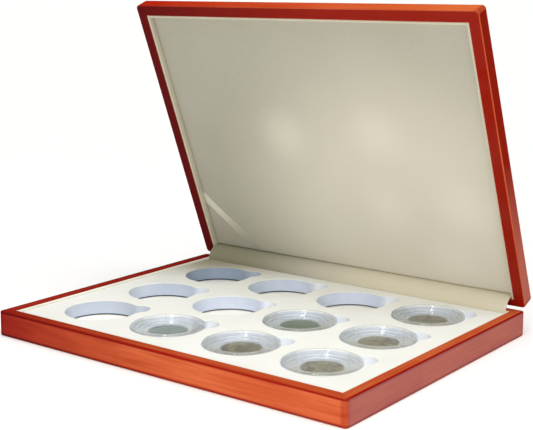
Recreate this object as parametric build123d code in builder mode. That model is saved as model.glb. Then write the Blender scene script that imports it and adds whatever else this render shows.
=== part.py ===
from build123d import *
import math
import os

# Coin display case: a lacquered wooden box with a hinged lid, a die-cut insert
# with a grid of wells, and clear two-part capsules that each hold one coin.
#
# Origin at the centre of the case's underside, +X along the front edge, +Y to
# the hinge side, +Z up, in millimetres. The lid stands open on its hinge stop.

os.makedirs("parts", exist_ok=True)

# ---- wooden shell ------------------------------------------------------------
lid_height = 12.0
rail_thickness = 8.5          # width of the wooden rim
back_rail_thickness = 6.0     # the same on the hinge side
corner_radius = 3.0           # upright outer corners
base_edge_radius = 1.5        # outer edge round the underside
lid_edge_radius = 2.5         # outer edge round the lid's top face
rim_outer_radius = 0.8        # outer edge of both rims
rim_inner_radius = 0.4        # inner edge of both rims
rim_gap = 0.2                 # between the rims when the case is shut
open_angle = 68.4             # from shut to the hinge's stop
base_board_thickness = 3.8
lid_board_thickness = 4.0
board_rebate = 3.0            # how far a board is let into the rails
board_fit = 0.1               # clearance round a board in its rebate

# ---- linings -----------------------------------------------------------------
liner_thickness = 2.0         # fabric-covered strips along the inner walls
liner_setback = 0.3           # liners end this far inside the rim
lining_fit = 0.2              # clearance between neighbouring linings
floor_thickness = 1.2         # covered card under the wells
spacer_thickness = 1.2        # dark card that lifts the foam off the floor
insert_drop = 1.8             # insert's top face below the base rim
cover_thickness = 0.6         # velvet bonded to the foam
panel_recess = 4.0            # padded panel's face inside the lid rim
panel_board_thickness = 1.2
panel_edge_radius = 1.2       # soft edge of the padding
flap_thickness = 0.7          # fabric flap that covers the hinge line
flap_clearance = 0.3          # on both sides of the flap in its slots
flap_depth_in_base = 7.0      # length tucked between insert and back liner
flap_rise = 0.8               # straight length above the insert, before the flap bows
flap_depth_in_lid = 2.6       # length tucked between panel and back rail
ribbon_width = 7.0            # certificate ribbon across a corner of the lid
ribbon_thickness = 0.4
ribbon_setback = 33.7         # from the panel's corner to the ribbon's centre line

# ---- wells -------------------------------------------------------------------
columns = 4
rows = 3
well_spacing_x = 65.0         # between the centres of neighbouring wells
well_spacing_y = 66.0
side_margin = 15.3            # from the insert's edge to the nearest wells
front_margin = 13.8
back_margin = 11.2
well_fit = 0.5                # clearance round a capsule in its well
notch_radius = 9.5            # finger notch at each well
notch_setback = 0.5           # notch's centre inside the well's edge
notch_angle = 45.0
notch_blend_radius = 4.5      # where a notch runs into its well
spacer_setback = 2.5          # spacer's holes are this much wider than the wells

# ---- capsules and coins ------------------------------------------------------
capsule_radius = 26.0
capsule_height = 12.2
capsule_rise = 1.0            # capsules' tops above the insert's top face
capsule_wall = 1.1
capsule_band = 3.2            # flat outer ring of each half
step_count = 3                # stepped rings between band and centre
step_width = 3.0
step_height = 1.1             # of the lid half; the base half rises to meet the coin
step_wall = 0.8
plug_wall = 0.9               # lip of the base half inside the lid half
plug_height = 1.2
snap_fit = 0.1                # clearance between lip and skirt
coin_radius = 13.8
coin_thickness = 2.4
coin_rim_width = 1.2
coin_relief = 0.2             # field below the coin's rim
coin_fit = 0.1                # clearance above a coin
collar_fit = 0.2              # clearance round a coin in its collar
collar_wall = 0.9
collar_height = 1.8
capsule_edge_radius = 0.4
filled_wells = {              # column and row of each capsule, counted from front left
    "front_2": (1, 0),
    "front_3": (2, 0),
    "front_4": (3, 0),
    "middle_3": (2, 1),
    "middle_4": (3, 1),
    "back_4": (3, 2),
}

# ---- hinges ------------------------------------------------------------------
hinge_inset = 60.0            # from the case's end to the middle of a hinge
hinge_length = 30.0
leaf_thickness = 1.0
leaf_reach = 5.0              # let into the rim from the back face
mortise_fit = 0.1             # clearance round a leaf in its mortise
knuckle_radius = 1.4
knuckle_clearance = 0.1       # between a knuckle and the back face
outer_knuckle_length = 5.0
inner_knuckle_length = 5.8
knuckle_end_gap = 0.2
pin_radius = 0.8
pin_clearance = 0.05
spring_wire_radius = 0.2
spring_coil_radius = 1.15     # to the wire's centre
spring_end_gap = 0.3
spring_leg_length = 5.0
screw_spacing = 18.0
screw_head_radius = 1.7
screw_head_depth = 0.8
screw_shank_radius = 0.9
screw_length = 6.0
screw_slot_width = 0.5
screw_slot_depth = 0.4
screw_fit = 0.05

# ---- derived levels and outlines ---------------------------------------------
# The capsules set the size of the wells, the grid of wells that of the insert,
# and the insert that of the case.
well_radius = capsule_radius + well_fit
notch_offset = well_radius - notch_setback
flap_slot = flap_thickness + 2 * flap_clearance
insert_right = (columns - 1) * well_spacing_x / 2 + well_radius + side_margin
insert_depth = front_margin + (rows - 1) * well_spacing_y + 2 * well_radius + back_margin
opening_width = 2 * (insert_right + lining_fit + liner_thickness)
opening_depth = insert_depth + lining_fit + 2 * liner_thickness + flap_slot
case_width = opening_width + 2 * rail_thickness
case_depth = opening_depth + rail_thickness + back_rail_thickness
back_face = case_depth / 2
wall_x = opening_width / 2
wall_front = rail_thickness - case_depth / 2
wall_back = back_face - back_rail_thickness
side_x = wall_x - liner_thickness
side_front = wall_front + liner_thickness
side_back = wall_back - liner_thickness
well_floor = base_board_thickness + floor_thickness
spacer_top = well_floor + spacer_thickness
insert_top = well_floor + capsule_height - capsule_rise
foam_top = insert_top - cover_thickness
base_height = insert_top + insert_drop
liner_top = base_height - liner_setback

lid_rim = base_height + rim_gap
lid_top = lid_rim + lid_height
lid_inside = lid_top - lid_board_thickness
panel_face = lid_rim + panel_recess
padding_back = lid_inside - panel_board_thickness

insert_front = side_front + lining_fit
insert_back = insert_front + insert_depth
panel_back = wall_back - flap_slot

hinge_y = back_face + knuckle_radius + knuckle_clearance
hinge_z = base_height + rim_gap / 2
hinge_centres = (-case_width / 2 + hinge_inset, case_width / 2 - hinge_inset)
turn = math.radians(open_angle)


def opened(y, z):
    """Where a point of the shut lid lies when the lid stands open."""
    dy = y - hinge_y
    dz = z - hinge_z
    open_y = hinge_y + dy * math.cos(turn) + dz * math.sin(turn)
    open_z = hinge_z - dy * math.sin(turn) + dz * math.cos(turn)
    return open_y, open_z


# Sketches of the base lie in base_frame. Those of the lid lie in lid_frame,
# which carries the shut lid's coordinates into its open place.
base_frame = Plane.XY
lid_frame = Plane(
    origin=(0, *opened(0, 0)),
    x_dir=(1, 0, 0),
    z_dir=(0, math.sin(turn), math.cos(turn)),
)


def up_axis(frame):
    return Axis(frame.origin, frame.z_dir)


def keep(piece, name):
    """Label a finished piece and write it."""
    piece.part.label = name
    export_step(piece.part, f"parts/{name}.step")


# ---- wooden shell ------------------------------------------------------------
def mitre_planes(frame, side):
    """The two mitre planes that end a rail, facing the rail's middle."""
    corners = {
        "front": ((-1, -1), (1, -1)),
        "back": ((-1, 1), (1, 1)),
        "left": ((-1, -1), (-1, 1)),
        "right": ((1, -1), (1, 1)),
    }
    planes = []
    for sx, sy in corners[side]:
        end_thickness = back_rail_thickness if sy > 0 else rail_thickness
        nx, ny = -sx * end_thickness, sy * rail_thickness
        if side in ("left", "right"):
            nx, ny = -nx, -ny
        corner = frame.from_local_coords((sx * case_width / 2, sy * case_depth / 2, 0))
        planes.append(Plane(origin=corner, z_dir=frame.x_dir * nx + frame.y_dir * ny))
    return planes


def shell_rail(frame, outer, rim, side, edge_radius, board_thickness):
    """One mitred rail of the base or the lid, from its outer face to its rim."""
    low = min(outer, rim)
    height = abs(rim - outer)
    outer_end, rim_end = (0, -1) if outer < rim else (-1, 0)
    inward = math.copysign(1, rim - outer)
    with BuildPart() as rail:
        with BuildSketch(frame.offset(low)):
            RectangleRounded(case_width, case_depth, corner_radius)
        extrude(amount=height)
        fillet(rail.faces().sort_by(up_axis(frame))[outer_end].edges(), edge_radius)
        fillet(rail.faces().sort_by(up_axis(frame))[rim_end].edges(), rim_outer_radius)
        with BuildSketch(frame.offset(low)):
            with Locations((0, (wall_front + wall_back) / 2)):
                Rectangle(opening_width, opening_depth)
        extrude(amount=height, mode=Mode.SUBTRACT)
        with BuildSketch(frame.offset(outer)):
            with Locations((0, (wall_front + wall_back) / 2)):
                Rectangle(opening_width + 2 * board_rebate, opening_depth + 2 * board_rebate)
        extrude(amount=inward * board_thickness, mode=Mode.SUBTRACT)
        for plane in mitre_planes(frame, side):
            split(bisect_by=plane)
        rim_face = rail.faces().sort_by(up_axis(frame))[rim_end]
        fillet(rim_face.edges().sort_by_distance(frame.origin)[0], rim_inner_radius)
        if side == "back":
            for centre_x in hinge_centres:
                with BuildSketch(frame.offset(rim)):
                    with Locations((centre_x, back_face - leaf_reach / 2)):
                        Rectangle(hinge_length + 2 * mortise_fit, leaf_reach + 2 * mortise_fit)
                extrude(amount=-inward * leaf_thickness, mode=Mode.SUBTRACT)
                with BuildSketch(frame.offset(rim)):
                    with Locations(*screw_places(centre_x)):
                        Circle(screw_shank_radius + screw_fit)
                extrude(amount=-inward * (screw_length + screw_fit), mode=Mode.SUBTRACT)
    return rail


def screw_places(centre_x):
    """The two screws of a leaf, on the middle line of its plate."""
    y = back_face - leaf_reach / 2
    return (centre_x - screw_spacing / 2, y), (centre_x + screw_spacing / 2, y)


def slab(frame, bottom, top, left, right, front, back):
    """A flat sheet between two levels of a frame."""
    with BuildPart() as sheet:
        with BuildSketch(frame.offset(bottom)):
            with Locations(((left + right) / 2, (front + back) / 2)):
                Rectangle(right - left, back - front)
        extrude(amount=top - bottom)
    return sheet


for side in ("front", "back", "left", "right"):
    base_rail = shell_rail(base_frame, 0, base_height, side, base_edge_radius, base_board_thickness)
    keep(base_rail, f"base_{side}_rail")
    lid_rail = shell_rail(lid_frame, lid_top, lid_rim, side, lid_edge_radius, lid_board_thickness)
    keep(lid_rail, f"lid_{side}_rail")

board_ends = (
    -wall_x - board_rebate + board_fit, wall_x + board_rebate - board_fit,
    wall_front - board_rebate + board_fit, wall_back + board_rebate - board_fit,
)
keep(slab(base_frame, 0, base_board_thickness, *board_ends), "base_bottom_board")
keep(slab(lid_frame, lid_inside, lid_top, *board_ends), "lid_top_board")


# ---- linings of the base -----------------------------------------------------
keep(
    slab(
        base_frame, base_board_thickness, well_floor,
        -wall_x + lining_fit, wall_x - lining_fit, wall_front + lining_fit, wall_back - lining_fit,
    ),
    "well_floor_card",
)
for side, ends in (
    ("front", (-wall_x, wall_x, wall_front, side_front)),
    ("back", (-wall_x, wall_x, side_back, wall_back)),
    ("left", (-wall_x, -side_x, side_front, side_back)),
    ("right", (side_x, wall_x, side_front, side_back)),
):
    keep(slab(base_frame, well_floor, liner_top, *ends), f"base_liner_{side}")


def well_centre(column, row):
    """The middle of a well, counted from the front left."""
    x = (column - (columns - 1) / 2) * well_spacing_x
    y = insert_front + front_margin + well_radius + row * well_spacing_y
    return x, y


def well_sheet(bottom, top, widening):
    """A sheet of the insert, with every well and its finger notch cut through."""
    with BuildSketch() as well:
        Circle(well_radius + widening + notch_blend_radius)
        with Locations(Vector(notch_offset, 0).rotate(Axis.Z, notch_angle)):
            Circle(notch_radius + widening + notch_blend_radius)
        offset(amount=-notch_blend_radius)
    with BuildPart() as sheet:
        with BuildSketch(Plane.XY.offset(bottom)):
            with Locations((0, (insert_front + insert_back) / 2)):
                Rectangle(2 * insert_right, insert_back - insert_front)
            with Locations(*[well_centre(c, r) for c in range(columns) for r in range(rows)]):
                add(well.sketch, mode=Mode.SUBTRACT)
        extrude(amount=top - bottom)
    return sheet


keep(well_sheet(well_floor, spacer_top, spacer_setback), "insert_spacer_card")
keep(well_sheet(spacer_top, foam_top, 0), "insert_foam")
keep(well_sheet(foam_top, insert_top, 0), "insert_velvet_cover")

# ---- linings of the lid ------------------------------------------------------
lid_liner_face = lid_rim + liner_setback
for side, ends in (
    ("front", (-side_x, side_x, wall_front, side_front)),
    ("left", (-wall_x, -side_x, wall_front, wall_back)),
    ("right", (side_x, wall_x, wall_front, wall_back)),
):
    keep(slab(lid_frame, lid_liner_face, lid_inside, *ends), f"lid_liner_{side}")

panel_right = side_x - lining_fit
panel_front = side_front + lining_fit
keep(
    slab(lid_frame, padding_back, lid_inside, -panel_right, panel_right, panel_front, panel_back),
    "lid_panel_board",
)

with BuildPart() as panel_padding:
    with BuildSketch(lid_frame.offset(panel_face)):
        with Locations((0, (panel_front + panel_back) / 2)):
            Rectangle(2 * panel_right, panel_back - panel_front)
    extrude(amount=padding_back - panel_face)
    fillet(panel_padding.faces().sort_by(up_axis(lid_frame))[0].edges(), panel_edge_radius)
keep(panel_padding, "lid_panel_padding")

with BuildPart() as certificate_ribbon:
    with BuildSketch(lid_frame.offset(panel_face - ribbon_thickness)):
        with Locations((0, (panel_front + panel_back) / 2)):
            Rectangle(2 * panel_right, panel_back - panel_front)
        reach = ribbon_setback / math.sqrt(2)
        with Locations(Location((-panel_right + reach, panel_back - reach, 0), (0, 0, 45))):
            Rectangle(4 * ribbon_setback, ribbon_width, mode=Mode.INTERSECT)
    extrude(amount=ribbon_thickness)
keep(certificate_ribbon, "lid_certificate_ribbon")

# The flap's front face rises from its slot in the base, bows over the hinge
# line in one arc and dips into its slot in the lid.
flap_foot = (insert_back + flap_clearance, insert_top - flap_depth_in_base)
flap_bend = (insert_back + flap_clearance, insert_top + flap_rise)
flap_edge = opened(panel_back + flap_clearance, panel_face)
flap_head = opened(panel_back + flap_clearance, panel_face + flap_depth_in_lid)
with BuildPart() as hinge_flap:
    with BuildSketch(Plane.YZ):
        with BuildLine() as flap_section:
            Line(flap_foot, flap_bend)
            TangentArc(flap_bend, flap_edge, tangent=(0, 1))
            Line(flap_edge, flap_head)
            offset(amount=flap_thickness, side=Side.RIGHT)
        make_face()
    extrude(amount=panel_right, both=True)
keep(hinge_flap, "hinge_flap")


# ---- hinges ------------------------------------------------------------------
def hinge_section(x):
    """Plane across the hinge axis, facing +X."""
    return Plane(origin=(x, hinge_y, hinge_z), x_dir=(0, 1, 0), z_dir=(1, 0, 0))


def hinge_leaf(frame, rim, inward, centre_x, spans):
    """A leaf let into a rim, with its knuckles over the given spans along X."""
    plate_back = back_face - knuckle_clearance
    plate_front = back_face - leaf_reach
    tab_back = hinge_y - pin_radius
    with BuildPart() as leaf:
        with BuildSketch(frame.offset(rim)):
            with Locations((centre_x, (plate_front + plate_back) / 2)):
                Rectangle(hinge_length, plate_back - plate_front)
            for start, end in spans:
                with Locations((centre_x + (start + end) / 2, (plate_back + tab_back) / 2)):
                    Rectangle(end - start, tab_back - plate_back)
        extrude(amount=inward * leaf_thickness)
        for start, end in spans:
            with BuildSketch(hinge_section(centre_x + start)):
                Circle(knuckle_radius)
            extrude(amount=end - start)
        with BuildSketch(hinge_section(centre_x - hinge_length / 2)):
            Circle(pin_radius + pin_clearance)
        extrude(amount=hinge_length, mode=Mode.SUBTRACT)
        with BuildSketch(frame.offset(rim)):
            with Locations(*screw_places(centre_x)):
                Circle(screw_head_radius + screw_fit)
        extrude(amount=inward * screw_head_depth, taper=45, mode=Mode.SUBTRACT)
        with BuildSketch(frame.offset(rim)):
            with Locations(*screw_places(centre_x)):
                Circle(screw_shank_radius + screw_fit)
        extrude(amount=inward * leaf_thickness, mode=Mode.SUBTRACT)
    return leaf


def leaf_screws(frame, rim, inward):
    """The four countersunk screws of one rim."""
    places = [place for centre_x in hinge_centres for place in screw_places(centre_x)]
    with BuildPart() as screws:
        with BuildSketch(frame.offset(rim)):
            with Locations(*places):
                Circle(screw_head_radius)
        extrude(amount=inward * screw_head_depth, taper=45)
        with BuildSketch(frame.offset(rim)):
            with Locations(*places):
                Circle(screw_shank_radius)
        extrude(amount=inward * screw_length)
        with BuildSketch(frame.offset(rim)):
            with Locations(*places):
                Rectangle(2 * screw_head_radius, screw_slot_width)
        extrude(amount=inward * screw_slot_depth, mode=Mode.SUBTRACT)
    return screws


outer_span = (hinge_length / 2 - outer_knuckle_length, hinge_length / 2)
inner_end = outer_span[0] - knuckle_end_gap
inner_span = (inner_end - inner_knuckle_length, inner_end)
base_spans = (outer_span, (-outer_span[1], -outer_span[0]))
lid_spans = (inner_span, (-inner_span[1], -inner_span[0]))
spring_half = inner_span[0] - spring_end_gap - spring_wire_radius
spring_turns = 2 * math.ceil(spring_half / (2 * spring_wire_radius)) + 1
spring_pitch = 2 * spring_half / (spring_turns - 1)

for hinge, centre_x in zip(("left", "right"), hinge_centres):
    keep(hinge_leaf(base_frame, base_height, -1, centre_x, base_spans), f"hinge_{hinge}_base_leaf")
    keep(hinge_leaf(lid_frame, lid_rim, 1, centre_x, lid_spans), f"hinge_{hinge}_lid_leaf")

    with BuildPart() as hinge_pin:
        with BuildSketch(hinge_section(centre_x - hinge_length / 2)):
            Circle(pin_radius)
        extrude(amount=hinge_length)
        chamfer(hinge_pin.faces().filter_by(Axis.X).edges(), pin_radius / 4)
    keep(hinge_pin, f"hinge_{hinge}_pin")

    # Close-wound torsion spring: its turns touch, so it is one ribbed sleeve,
    # with a leg that presses on the back of the base.
    with BuildPart() as hinge_spring:
        section = Plane(origin=(centre_x, hinge_y, hinge_z), x_dir=(1, 0, 0), z_dir=(0, 0, 1))
        with BuildSketch(section):
            with Locations((0, spring_coil_radius)):
                Rectangle(2 * spring_half, spring_wire_radius)
                with GridLocations(spring_pitch, 1, spring_turns, 1):
                    Circle(spring_wire_radius)
        revolve(axis=Axis((centre_x, hinge_y, hinge_z), (1, 0, 0)))
        leg_x = centre_x - spring_half + spring_pitch / 2
        with BuildSketch(Plane.XY.offset(hinge_z)):
            with Locations((leg_x, hinge_y - spring_coil_radius)):
                Circle(spring_wire_radius)
        extrude(amount=-spring_leg_length)
    keep(hinge_spring, f"hinge_{hinge}_spring")

keep(leaf_screws(base_frame, base_height, -1), "hinge_base_screws")
keep(leaf_screws(lid_frame, lid_rim, 1), "hinge_lid_screws")

# ---- capsules and coins ------------------------------------------------------
parting = capsule_height / 2
step_radii = [capsule_radius - capsule_band - k * step_width for k in range(step_count)]
coin_top = capsule_height - step_count * step_height - capsule_wall - coin_fit
coin_seat = coin_top - coin_thickness
base_step_height = (coin_seat - capsule_wall) / step_count
seat_radius = coin_radius + collar_fit
skirt_radius = capsule_radius - capsule_wall
plug_radius = skirt_radius - snap_fit
plug_inside = plug_radius - plug_wall


def outside_steps(height):
    """A half's outer face from the centre to the band, as (radius, depth below the band)."""
    points = [(0, step_count * height)]
    for k in reversed(range(step_count)):
        points.append((step_radii[k], (k + 1) * height))
        points.append((step_radii[k], k * height))
    return points


def inside_steps(height):
    """A half's inner face from its wall to the last step, in the same way."""
    points = []
    for k in range(step_count):
        points.append((step_radii[k] + step_wall, k * height + capsule_wall))
        points.append((step_radii[k] + step_wall, (k + 1) * height + capsule_wall))
    return points


def lid_side(points):
    """The same points in the upper half."""
    return [(radius, capsule_height - depth) for radius, depth in points]


lid_half = lid_side(outside_steps(step_height)) + [
    (capsule_radius, capsule_height),
    (capsule_radius, parting),
    (skirt_radius, parting),
    (skirt_radius, capsule_height - capsule_wall),
] + lid_side(inside_steps(step_height)) + [(0, coin_top + coin_fit)]

base_half = outside_steps(base_step_height) + [
    (capsule_radius, 0),
    (capsule_radius, parting),
    (plug_radius, parting),
    (plug_radius, parting + plug_height),
    (plug_inside, parting + plug_height),
    (plug_inside, capsule_wall),
] + inside_steps(base_step_height) + [
    (seat_radius + collar_wall, coin_seat),
    (seat_radius + collar_wall, coin_seat + collar_height),
    (seat_radius, coin_seat + collar_height),
    (seat_radius, coin_seat),
    (0, coin_seat),
]

coin_field = coin_radius - coin_rim_width
coin_half = [
    (0, coin_seat + coin_relief),
    (coin_field, coin_seat + coin_relief),
    (coin_field, coin_seat),
    (coin_radius, coin_seat),
    (coin_radius, coin_top),
    (coin_field, coin_top),
    (coin_field, coin_top - coin_relief),
    (0, coin_top - coin_relief),
]


def turned(points, centre):
    """A round piece turned from its half section, standing on the well's floor."""
    x, y = centre
    section = Plane(origin=(x, y, well_floor), x_dir=(1, 0, 0), z_dir=(0, -1, 0))
    with BuildPart() as piece:
        with BuildSketch(section):
            with BuildLine():
                Polyline(*points, close=True)
            make_face()
        revolve(axis=Axis((x, y, 0), (0, 0, 1)))
    return piece


for well, (column, row) in filled_wells.items():
    centre = well_centre(column, row)
    capsule_base = turned(base_half, centre)
    with capsule_base:
        fillet(capsule_base.faces().sort_by(Axis.Z)[0].outer_wire().edges(), capsule_edge_radius)
    keep(capsule_base, f"capsule_base_{well}")
    capsule_lid = turned(lid_half, centre)
    with capsule_lid:
        fillet(capsule_lid.faces().sort_by(Axis.Z)[-1].outer_wire().edges(), capsule_edge_radius)
    keep(capsule_lid, f"capsule_lid_{well}")
    keep(turned(coin_half, centre), f"coin_{well}")
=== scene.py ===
import math
import bmesh
import bpy
from mathutils import Matrix, Vector, noise


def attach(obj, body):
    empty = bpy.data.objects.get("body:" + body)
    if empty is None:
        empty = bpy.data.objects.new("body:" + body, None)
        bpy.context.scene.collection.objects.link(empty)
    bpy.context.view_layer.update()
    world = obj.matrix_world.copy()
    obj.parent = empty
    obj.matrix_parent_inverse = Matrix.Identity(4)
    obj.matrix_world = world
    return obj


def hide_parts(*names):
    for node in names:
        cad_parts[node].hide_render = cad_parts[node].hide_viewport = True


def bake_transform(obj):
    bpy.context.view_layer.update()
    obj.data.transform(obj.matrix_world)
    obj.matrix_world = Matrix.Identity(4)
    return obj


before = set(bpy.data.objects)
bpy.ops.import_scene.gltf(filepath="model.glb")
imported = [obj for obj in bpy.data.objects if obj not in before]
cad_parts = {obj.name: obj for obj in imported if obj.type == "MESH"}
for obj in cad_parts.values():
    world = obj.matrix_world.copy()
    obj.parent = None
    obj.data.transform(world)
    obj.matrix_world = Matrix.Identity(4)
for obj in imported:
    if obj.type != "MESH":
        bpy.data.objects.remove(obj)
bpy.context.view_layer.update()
mm = 0.001

# ---- the studio --------------------------------------------------------------
# A matt pale table top under one broad soft lamp, in a white room. The camera
# stands low, off the case's front right corner, with a long lens.
camera_azimuth = math.radians(37.527)
camera_elevation = math.radians(8.61)
camera_distance = 848.1 * mm
camera_aside = 3.4 * mm
camera_lift = 125.0 * mm
lens_length = 79.49           # on a 36 mm sensor
picture_shift = -0.1001       # of the picture's width
room_light = 0.37             # level at which the room lights the object
lamp_strength = 2.3
lamp_spread = math.radians(60)
lamp_turn = (math.radians(10), math.radians(18), 0)
side_lamp_power = 1.35
side_lamp_size = 0.12
side_lamp_place = Vector((0.27, -0.60, 0.17))
side_lamp_aim = Vector((0.1, 0, 0.06))
side_lamp_colour = (1.0, 0.93, 0.86)
floor_size = 60.0
floor_lift = 0.12             # of white that only the camera sees


def linear(colour):
    """An sRGB hex colour as linear red, green, blue and alpha."""
    parts = [int(colour[i:i + 2], 16) / 255 for i in (1, 3, 5)]
    return (*[p / 12.92 if p <= 0.04045 else ((p + 0.055) / 1.055) ** 2.4 for p in parts], 1)


def add(tree, kind, inputs=(), **properties):
    """Add a node, set its properties, and set or link its inputs, by name, by number or in order.
    A node stands for its first output in use, a list for several links and "#..." for a colour."""
    node = tree.nodes.new(kind)
    for name, value in properties.items():
        setattr(node, name, value)
    for name, value in inputs.items() if isinstance(inputs, dict) else enumerate(inputs):
        for source in value if isinstance(value, list) else [value]:
            if isinstance(source, bpy.types.Node):
                source = next(output for output in source.outputs if output.enabled)
            if isinstance(source, bpy.types.NodeSocket):
                tree.links.new(source, node.inputs[name])
            elif isinstance(source, str) and source.startswith("#"):
                node.inputs[name].default_value = linear(source)
            else:
                node.inputs[name].default_value = source
    return node


def finish_called(name):
    """A new material of that name and its empty node tree."""
    material = bpy.data.materials.new(name)
    material.use_nodes = True
    material.node_tree.nodes.clear()
    return material, material.node_tree


def placed(name, data):
    """A new object in the scene."""
    thing = bpy.data.objects.new(name, data)
    scene.collection.objects.link(thing)
    return thing


scene = bpy.context.scene
scene.view_settings.view_transform = "Standard"
scene.cycles.transparent_max_bounces = 32   # each capsule has many clear walls

toward_camera = Vector((
    math.sin(camera_azimuth) * math.cos(camera_elevation),
    -math.cos(camera_azimuth) * math.cos(camera_elevation),
    math.sin(camera_elevation),
))
picture_right = Vector((math.cos(camera_azimuth), math.sin(camera_azimuth), 0))
picture_up = toward_camera.cross(picture_right)
camera_data = bpy.data.cameras.new("camera")
camera_data.sensor_width = 36
camera_data.lens = lens_length
camera_data.shift_y = picture_shift
camera = placed("camera", camera_data)
aimed = Matrix((picture_right, picture_up, toward_camera)).transposed().to_4x4()
seen_point = picture_right * camera_aside + picture_up * camera_lift
camera.matrix_world = Matrix.Translation(seen_point + toward_camera * camera_distance) @ aimed
scene.camera = camera

lamp_data = bpy.data.lights.new("soft_lamp", "SUN")
lamp_data.energy = lamp_strength
lamp_data.angle = lamp_spread
placed("soft_lamp", lamp_data).rotation_euler = lamp_turn

side_data = bpy.data.lights.new("side_lamp", "AREA")
side_data.energy = side_lamp_power
side_data.size = side_lamp_size
side_data.color = side_lamp_colour
side_lamp = placed("side_lamp", side_data)
side_lamp.location = side_lamp_place
side_lamp.rotation_euler = (side_lamp_aim - side_lamp_place).to_track_quat("-Z", "Y").to_euler()

world = bpy.data.worlds.new("white_room")
world.use_nodes = True
room = world.node_tree
room.nodes.clear()
ray = add(room, "ShaderNodeLightPath").outputs
seen = ray["Is Camera Ray"]
for kind in ("Is Glossy Ray", "Is Transmission Ray"):
    seen = add(room, "ShaderNodeMath", [seen, ray[kind]], operation="MAXIMUM")
level = add(room, "ShaderNodeMapRange", {"Value": seen, "To Min": room_light})
white = add(room, "ShaderNodeBackground", {"Strength": level})
add(room, "ShaderNodeOutputWorld", {"Surface": white})
scene.world = world

floor_mesh = bpy.data.meshes.new("table_top")
floor_mesh.from_pydata(
    [(x * floor_size / 2, y * floor_size / 2, 0) for x, y in ((-1, -1), (1, -1), (1, 1), (-1, 1))],
    [], [(0, 1, 2, 3)],
)
table_top = placed("table_top", floor_mesh)
# Matt white paper: an even, pale ground that keeps the shadow.
matt_paper, tree = finish_called("matt_paper")
seen = add(tree, "ShaderNodeLightPath").outputs["Is Camera Ray"]
add(tree, "ShaderNodeOutputMaterial", {"Surface": add(tree, "ShaderNodeBsdfPrincipled", {
    "Base Color": "#F4F4F2",
    "Roughness": 0.9,
    "Specular IOR Level": 0.1,
    "Emission Color": "#FFFFFF",
    "Emission Strength": add(tree, "ShaderNodeMath", [seen, floor_lift], operation="MULTIPLY"),
})})
floor_mesh.materials.append(matt_paper)

# ---- the wooden shell --------------------------------------------------------
# Base and lid are mitred frames of hardwood, stained red, sanded and sprayed
# with clear lacquer, so the mitres hardly show. The lid's top board is let into
# its frame and lacquered over with it.
case_width = 300.0 * mm
case_depth = 230.0 * mm
base_height = 18.0 * mm
lid_rim = 18.2 * mm           # levels of the lid are those of the shut case
lid_inside = 26.2 * mm
lid_top = 30.2 * mm
rail_thickness = 8.5 * mm
back_rail_thickness = 6.0 * mm
board_rebate = 3.0 * mm
board_thickness = 3.8 * mm
corner_radius = 3.0 * mm
base_edge_radius = 1.5 * mm
lid_edge_radius = 2.5 * mm
rim_outer_radius = 0.8 * mm
rim_inner_radius = 0.4 * mm
open_angle = math.radians(68.4)
hinge_y = 116.5 * mm
hinge_z = 18.1 * mm
hinge_places = (-90 * mm, 90 * mm)
mortise_length = 30.2 * mm
mortise_front = 109.9 * mm
mortise_depth = 1.0 * mm
arc_steps = 5
flat_start = 0.25 * mm        # beyond the end of a rounded edge
edge_darkness_reach = 1.1 * mm   # how far the painted edge shade runs from an edge
# Painted shade at the upright corners: how far it runs, and how dark it is.
corner_darkness_reach = 2.2 * mm
corner_darkness = 0.45
streak_size = (45 * mm, 1.8 * mm)
streak_span = (0.48, 0.75)    # of the pattern, from which and to which the streaks darken
streak_depth = 0.5
cloud_size = (60 * mm, 9 * mm)
cloud_span = (0.3, 0.7)
stave_length = 185 * mm       # of the pieces that are jointed end to end
stave_start = 30 * mm
stave_share = 0.3             # of the mottle that differs from stave to stave
side_shift = 7.3              # keeps the patterns of two rails apart
facing_span = (0.94, 0.99)    # how squarely a face has to look along a direction
# From where to where painted shade darkens the red towards the left.
shaded_left_span = (-150 * mm, 20 * mm)
end_height = (25 * mm, 130 * mm)
end_table_reflection = 0.5                # painted reflection of the pale table at the foot of the right-hand end
end_shade = 0.95              # painted shade at the top of the open lid's right-hand end
lid_rim_shade = 0.95          # painted shade on the lid's rim
base_rim_shade = 0.3          # and on the base's rim
lid_front_light = 0.4        # painted light: a brighter red on the lid's front
ripple_size = 6 * mm
coat_span = (0.25, 0.6)       # from seen straight on to seen at a low angle
coat_weight = (0.2, 0.01)

hinge_point = Vector((0, hinge_y, hinge_z))
lid_place = (
    Matrix.Translation(hinge_point)
    @ Matrix.Rotation(-open_angle, 4, "X")
    @ Matrix.Translation(-hinge_point)
)


def softened(corners, steps=arc_steps, start=flat_start):
    """Points, each with its painted edge shade, along a section of rounded corners (x, y, radius,
    shade).
    """
    points = []
    for index, (x, y, radius, edge_darkness) in enumerate(corners):
        here = Vector((x, y))
        if radius == 0:
            points.append((here, edge_darkness))
            continue
        before = (Vector(corners[index - 1][:2]) - here).normalized()
        after = (Vector(corners[(index + 1) % len(corners)][:2]) - here).normalized()
        half = before.angle(after) / 2
        reach = radius / math.tan(half)
        centre = here + (before + after).normalized() * radius / math.sin(half)
        first = here + before * reach - centre
        last = here + after * reach - centre
        turn = math.atan2(first.x * last.y - first.y * last.x, first.dot(last))
        if edge_darkness:
            points.append((centre + first + before * edge_darkness_reach, 0))
        points.append((centre + first + before * start, edge_darkness))
        for step in range(steps + 1):
            points.append((centre + Matrix.Rotation(turn * step / steps, 2) @ first, edge_darkness))
        points.append((centre + last + after * start, edge_darkness))
        if edge_darkness:
            points.append((centre + last + after * edge_darkness_reach, 0))
    return points


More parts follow.
